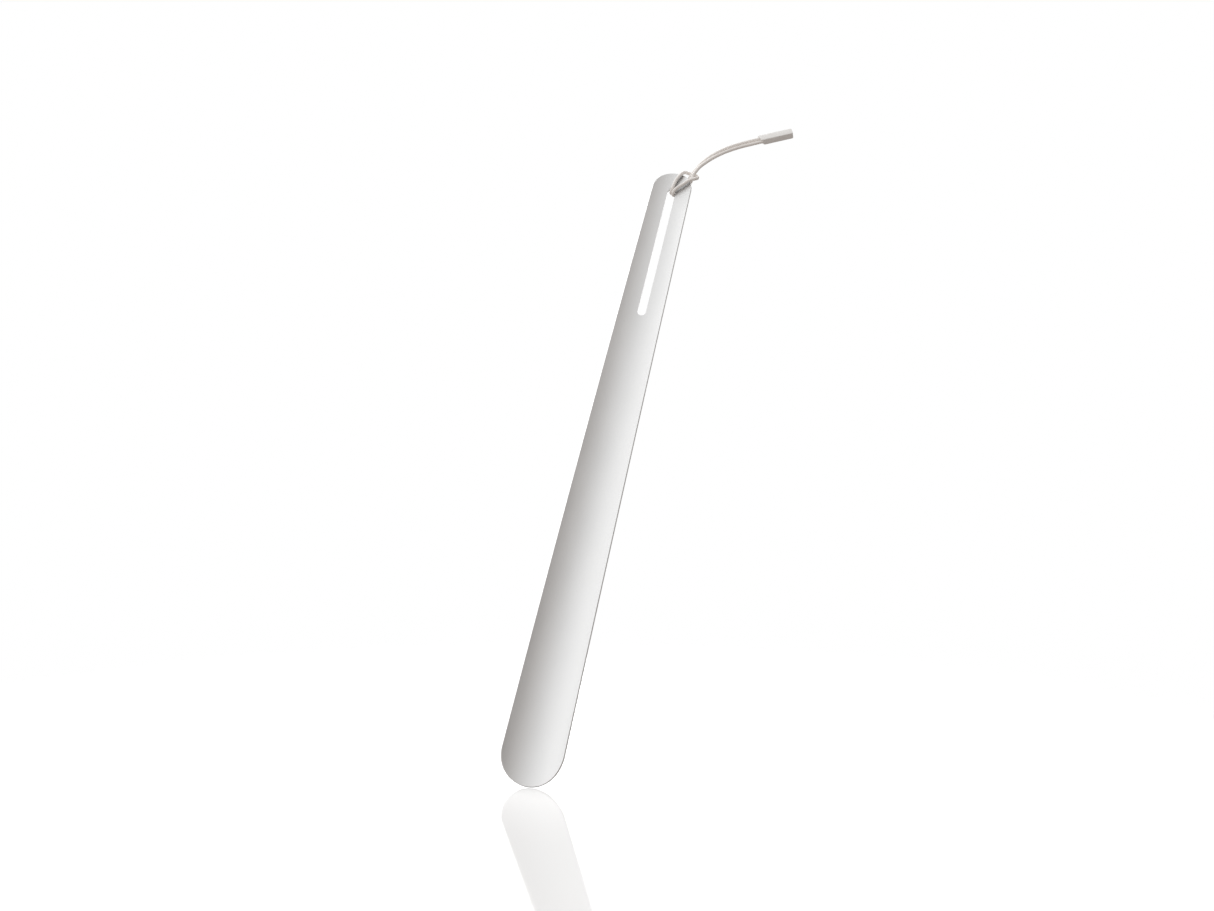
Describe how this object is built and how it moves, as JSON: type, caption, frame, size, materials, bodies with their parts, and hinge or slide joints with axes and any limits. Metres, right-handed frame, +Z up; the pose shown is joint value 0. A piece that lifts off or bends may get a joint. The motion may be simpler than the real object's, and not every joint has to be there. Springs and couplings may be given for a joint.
{
  "type": "long shoehorn",
  "caption": "Long-handled shoehorn: a curved, tapered metal blade with a long hanging slot, and a doubled cord loop hitched through the slot, its ends held in a small bar-shaped tag.",
  "frame": {"origin": "middle of the slot's upper end, where a hook or peg carries the shoehorn", "axes": "+Z up the blade from the heel end to the slotted end, -Y out of the hollow face, X across the blade with the cord loop on the +X side"},
  "size_m": [0.1065, 0.0154, 0.5745],
  "materials": {
    "blade_metal": "fine matte anodised or bead-blasted silver grey",
    "cord": "smooth satin, warm pale grey",
    "tag": "matte, warm pale grey"
  },
  "bodies": {
    "blade": {"blade": "blade_metal", "cord_hitch": "cord"},
    "loop_neck": {"cord_neck_a": "cord", "cord_neck_b": "cord"},
    "loop_end": {"cord_tail_a": "cord", "cord_tail_b": "cord", "tag": "tag"}
  },
  "joints": [
    {"name": "loop_swing", "type": "hinge", "parent": "blade", "child": "loop_neck", "pos_m": [0.0159, -0.0003, 0.0237], "axis": [0, -1, 0], "range_deg": [-75, 60]},
    {"name": "loop_fold", "type": "hinge", "parent": "loop_neck", "child": "loop_end", "pos_m": [0.0251, -0.0003, 0.0359], "axis": [-0.72, 0, 0.694], "range_deg": [-75, 75]}
  ]
}
